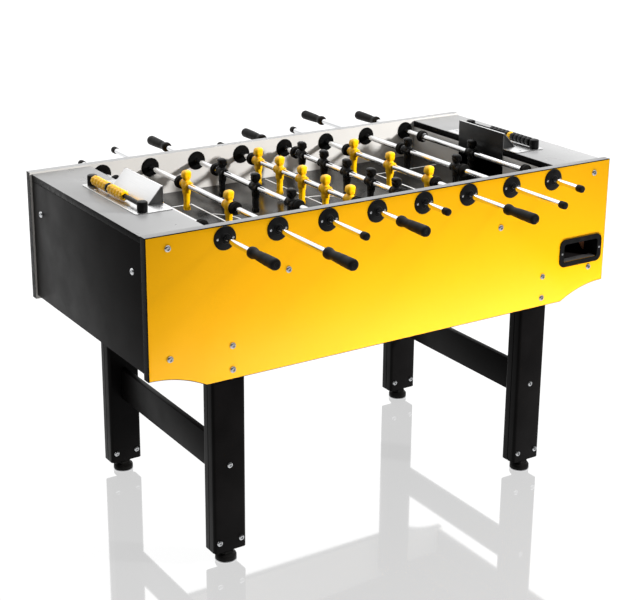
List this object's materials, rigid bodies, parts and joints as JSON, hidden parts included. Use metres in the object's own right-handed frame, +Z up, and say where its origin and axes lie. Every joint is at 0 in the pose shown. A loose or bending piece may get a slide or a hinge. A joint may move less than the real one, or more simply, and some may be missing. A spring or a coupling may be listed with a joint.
{
  "type": "foosball table",
  "caption": "Table-football game: yellow-sided cabinet on black legs, sliding and spinning rods of figures, goals at both ends and bead score counters.",
  "frame": {"origin": "on the floor, under the middle of the table", "axes": "+X along the table from the yellow team's goal to the black team's goal, +Y across it towards the back side panel, +Z up"},
  "size_m": [1.478, 1.402, 0.977],
  "materials": {
    "yellow_laminate": "smooth yellow laminate on board, satin",
    "black_laminate": "black laminate on board, satin",
    "white_laminate": "pale laminate on board, satin",
    "playfield": "dark printed laminate with white lines, semi-gloss",
    "sheet_steel": "bare folded sheet, the front face painted black",
    "chrome": "polished chrome tube; grip and end cap in black rubber",
    "rubber": "matt black rubber",
    "yellow_plastic": "glossy yellow moulding",
    "black_plastic": "glossy black moulding"
  },
  "bodies": {
    "cabinet": {"side_panel_front": "yellow_laminate", "side_panel_back": "yellow_laminate", "end_panel_left": "black_laminate", "end_deck_left": "black_laminate", "goal_wall_left": "white_laminate", "end_panel_right": "black_laminate", "end_deck_right": "black_laminate", "goal_wall_right": "white_laminate", "playfield": "playfield", "ball_return": "black_plastic", "leg_front_left": "black_laminate", "leg_back_left": "black_laminate", "stretcher_left": "black_laminate", "score_unit_left": "sheet_steel", "leg_front_right": "black_laminate", "leg_back_right": "black_laminate", "stretcher_right": "black_laminate", "score_unit_right": "sheet_steel"},
    "carrier_1": {"bumper_1": "rubber"},
    "rod_1": {"rod_1": "chrome", "figure_1_1": "yellow_plastic"},
    "carrier_2": {"bumper_2": "rubber"},
    "rod_2": {"rod_2": "chrome", "figure_2_1": "yellow_plastic", "figure_2_2": "yellow_plastic"},
    "carrier_3": {"bumper_3": "rubber"},
    "rod_3": {"rod_3": "chrome", "figure_3_1": "black_plastic", "figure_3_2": "black_plastic", "figure_3_3": "black_plastic"},
    "carrier_4": {"bumper_4": "rubber"},
    "rod_4": {"rod_4": "chrome", "figure_4_1": "yellow_plastic", "figure_4_2": "yellow_plastic", "figure_4_3": "yellow_plastic", "figure_4_4": "yellow_plastic", "figure_4_5": "yellow_plastic"},
    "carrier_5": {"bumper_5": "rubber"},
    "rod_5": {"rod_5": "chrome", "figure_5_1": "black_plastic", "figure_5_2": "black_plastic", "figure_5_3": "black_plastic", "figure_5_4": "black_plastic", "figure_5_5": "black_plastic"},
    "carrier_6": {"bumper_6": "rubber"},
    "rod_6": {"rod_6": "chrome", "figure_6_1": "yellow_plastic", "figure_6_2": "yellow_plastic", "figure_6_3": "yellow_plastic"},
    "carrier_7": {"bumper_7": "rubber"},
    "rod_7": {"rod_7": "chrome", "figure_7_1": "black_plastic", "figure_7_2": "black_plastic"},
    "carrier_8": {"bumper_8": "rubber"},
    "rod_8": {"rod_8": "chrome", "figure_8_1": "black_plastic"},
    "beads_left_scored": {"score_beads_left_a": "yellow_plastic"},
    "beads_left_waiting": {"score_beads_left_b": "yellow_plastic"},
    "beads_right_scored": {"score_beads_right_a": "black_plastic"},
    "beads_right_waiting": {"score_beads_right_b": "black_plastic"}
  },
  "joints": [
    {"name": "rod_1_slide", "type": "slide", "parent": "cabinet", "child": "carrier_1", "axis": [0, 1, 0], "range_m": [-0.079, 0.079]},
    {"name": "rod_1_spin", "type": "hinge", "parent": "carrier_1", "child": "rod_1", "pos_m": [-0.525, 0, 0.902], "axis": [0, 1, 0], "range_deg": [-42, 60]},
    {"name": "rod_2_slide", "type": "slide", "parent": "cabinet", "child": "carrier_2", "axis": [0, 1, 0], "range_m": [-0.174, 0.174]},
    {"name": "rod_2_spin", "type": "hinge", "parent": "carrier_2", "child": "rod_2", "pos_m": [-0.375, 0, 0.902], "axis": [0, 1, 0], "continuous": true},
    {"name": "rod_3_slide", "type": "slide", "parent": "cabinet", "child": "carrier_3", "axis": [0, 1, 0], "range_m": [-0.106, 0.106]},
    {"name": "rod_3_spin", "type": "hinge", "parent": "carrier_3", "child": "rod_3", "pos_m": [-0.225, 0, 0.902], "axis": [0, 1, 0], "continuous": true},
    {"name": "rod_4_slide", "type": "slide", "parent": "cabinet", "child": "carrier_4", "axis": [0, 1, 0], "range_m": [-0.053, 0.053]},
    {"name": "rod_4_spin", "type": "hinge", "parent": "carrier_4", "child": "rod_4", "pos_m": [-0.075, 0, 0.902], "axis": [0, 1, 0], "continuous": true},
    {"name": "rod_5_slide", "type": "slide", "parent": "cabinet", "child": "carrier_5", "axis": [0, 1, 0], "range_m": [-0.053, 0.053]},
    {"name": "rod_5_spin", "type": "hinge", "parent": "carrier_5", "child": "rod_5", "pos_m": [0.075, 0, 0.902], "axis": [0, 1, 0], "continuous": true},
    {"name": "rod_6_slide", "type": "slide", "parent": "cabinet", "child": "carrier_6", "axis": [0, 1, 0], "range_m": [-0.106, 0.106]},
    {"name": "rod_6_spin", "type": "hinge", "parent": "carrier_6", "child": "rod_6", "pos_m": [0.225, 0, 0.902], "axis": [0, 1, 0], "continuous": true},
    {"name": "rod_7_slide", "type": "slide", "parent": "cabinet", "child": "carrier_7", "axis": [0, 1, 0], "range_m": [-0.174, 0.174]},
    {"name": "rod_7_spin", "type": "hinge", "parent": "carrier_7", "child": "rod_7", "pos_m": [0.375, 0, 0.902], "axis": [0, 1, 0], "continuous": true},
    {"name": "rod_8_slide", "type": "slide", "parent": "cabinet", "child": "carrier_8", "axis": [0, 1, 0], "range_m": [-0.079, 0.079]},
    {"name": "rod_8_spin", "type": "hinge", "parent": "carrier_8", "child": "rod_8", "pos_m": [0.525, 0, 0.902], "axis": [0, 1, 0], "range_deg": [-60, 42]},
    {"name": "score_left_first_slide", "type": "slide", "parent": "cabinet", "child": "beads_left_scored", "axis": [0, 1, 0], "range_m": [-0.042, 0]},
    {"name": "score_left_second_slide", "type": "slide", "parent": "beads_left_scored", "child": "beads_left_waiting", "axis": [0, 1, 0], "range_m": [-0.042, 0]},
    {"name": "score_right_first_slide", "type": "slide", "parent": "cabinet", "child": "beads_right_scored", "axis": [0, 1, 0], "range_m": [0, 0.042]},
    {"name": "score_right_second_slide", "type": "slide", "parent": "beads_right_scored", "child": "beads_right_waiting", "axis": [0, 1, 0], "range_m": [0, 0.042]}
  ]
}
